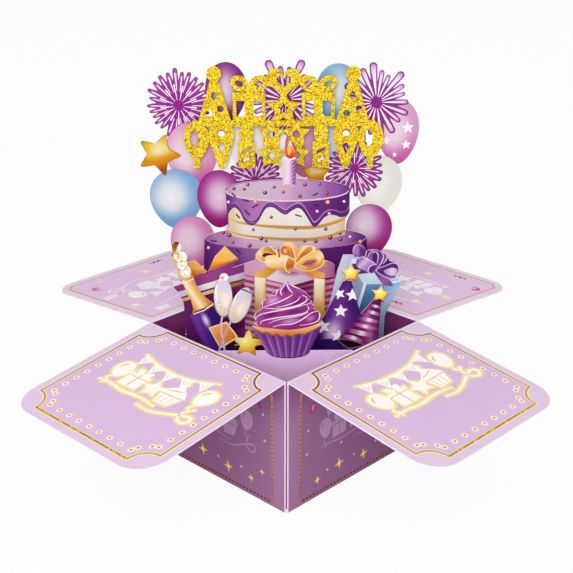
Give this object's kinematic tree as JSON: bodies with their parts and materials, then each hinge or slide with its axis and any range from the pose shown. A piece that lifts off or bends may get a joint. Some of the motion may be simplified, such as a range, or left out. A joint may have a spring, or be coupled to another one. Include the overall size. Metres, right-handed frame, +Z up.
{
  "type": "pop up card",
  "caption": "Box shaped pop up card: square folded walls, four hinged flaps and layered die cut party scenes with a glitter topper.",
  "frame": {"origin": "on the table under the middle of the square box", "axes": "+Z up; -Y towards the front corner of the box, which the pictures face; X to the right along the pictures"},
  "size_m": [0.2552, 0.2548, 0.206],
  "materials": {
    "wall_card": "matte",
    "lining_card": "matte",
    "flap_card": "matte",
    "picture_card": "satin",
    "glitter_card": "glitter",
    "foam": "matte"
  },
  "bodies": {
    "box": {"box_walls": "wall_card", "seam_strip": "lining_card", "balloon_sheet": "picture_card", "cake_sheet": "picture_card", "gift_sheet": "picture_card", "bottle_hat_sheet": "picture_card", "cupcake_sheet": "picture_card", "glitter_topper": "glitter_card", "topper_pads": "foam"},
    "flap_front_left": {"flap_front_left": "flap_card"},
    "flap_front_right": {"flap_front_right": "flap_card"},
    "flap_back_left": {"flap_back_left": "flap_card"},
    "flap_back_right": {"flap_back_right": "flap_card"}
  },
  "joints": [
    {"name": "front_left_fold", "type": "hinge", "parent": "box", "child": "flap_front_left", "pos_m": [-0.03535, -0.03535, 0.073], "axis": [-0.7071, 0.7071, 0], "range_deg": [-39.6, 92]},
    {"name": "front_right_fold", "type": "hinge", "parent": "box", "child": "flap_front_right", "pos_m": [0.03535, -0.03535, 0.073], "axis": [-0.7071, -0.7071, 0], "range_deg": [-39.6, 92]},
    {"name": "back_left_fold", "type": "hinge", "parent": "box", "child": "flap_back_left", "pos_m": [-0.03535, 0.03535, 0.073], "axis": [0.7071, 0.7071, 0], "range_deg": [-43.5, 72]},
    {"name": "back_right_fold", "type": "hinge", "parent": "box", "child": "flap_back_right", "pos_m": [0.03535, 0.03535, 0.073], "axis": [0.7071, -0.7071, 0], "range_deg": [-43.5, 72]}
  ]
}
